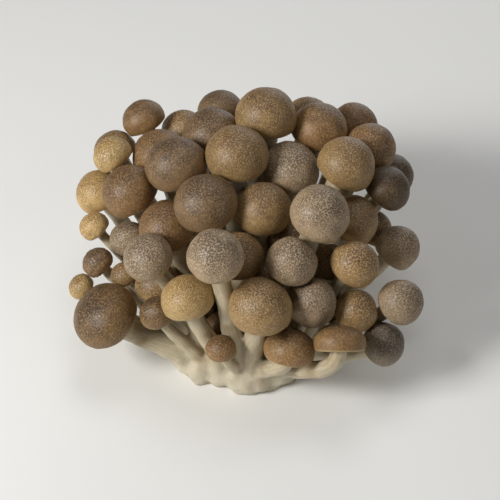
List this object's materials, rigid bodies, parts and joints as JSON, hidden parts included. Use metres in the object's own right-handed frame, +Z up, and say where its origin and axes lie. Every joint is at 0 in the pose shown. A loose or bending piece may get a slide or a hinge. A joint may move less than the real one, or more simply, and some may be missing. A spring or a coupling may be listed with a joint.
{
  "type": "beech mushroom cluster",
  "caption": "Cluster of brown beech mushrooms with rounded speckled caps and radial gills, on cream stems fused into one base with a flat cut underneath, standing on the cut.",
  "frame": {"origin": "middle of the flat cut under the base", "axes": "+X to the cluster's right along its long side, -Y its front, +Z up"},
  "size_m": [0.1352, 0.1238, 0.0899],
  "materials": {
    "stem_flesh": "cream mushroom flesh, matt to softly satin, faintly fibrous along the stems",
    "cap_skin": "ochre to grey-brown mushroom skin with fine darker speckling, satin"
  },
  "bodies": {
    "root": {"base_and_stems": "stem_flesh", "cap_front_01": "cap_skin", "cap_front_02": "cap_skin", "cap_front_03": "cap_skin", "cap_front_04": "cap_skin", "cap_front_05": "cap_skin", "cap_front_06": "cap_skin", "cap_front_07": "cap_skin", "cap_front_08": "cap_skin", "cap_front_09": "cap_skin", "cap_front_10": "cap_skin", "cap_front_11": "cap_skin", "cap_front_12": "cap_skin", "cap_left_01": "cap_skin", "cap_left_02": "cap_skin", "cap_left_03": "cap_skin", "cap_left_04": "cap_skin", "cap_left_05": "cap_skin", "cap_left_06": "cap_skin", "cap_left_07": "cap_skin", "cap_left_08": "cap_skin", "cap_left_09": "cap_skin", "cap_left_10": "cap_skin", "cap_right_01": "cap_skin", "cap_right_02": "cap_skin", "cap_right_03": "cap_skin", "cap_right_04": "cap_skin", "cap_right_05": "cap_skin", "cap_right_06": "cap_skin", "cap_right_07": "cap_skin", "cap_right_08": "cap_skin", "cap_right_09": "cap_skin", "cap_crown_01": "cap_skin", "cap_crown_02": "cap_skin", "cap_crown_03": "cap_skin", "cap_crown_04": "cap_skin", "cap_crown_05": "cap_skin", "cap_crown_06": "cap_skin", "cap_crown_07": "cap_skin", "cap_crown_08": "cap_skin", "cap_crown_09": "cap_skin", "cap_crown_10": "cap_skin", "cap_crown_11": "cap_skin", "cap_crown_12": "cap_skin", "cap_crown_13": "cap_skin", "cap_crown_14": "cap_skin", "cap_crown_15": "cap_skin", "cap_crown_16": "cap_skin", "cap_crown_17": "cap_skin", "cap_crown_18": "cap_skin", "cap_crown_19": "cap_skin", "cap_back_01": "cap_skin", "cap_back_02": "cap_skin", "cap_back_03": "cap_skin", "cap_back_04": "cap_skin", "cap_back_05": "cap_skin", "cap_back_06": "cap_skin", "cap_back_07": "cap_skin", "cap_back_08": "cap_skin"}
  },
  "joints": []
}
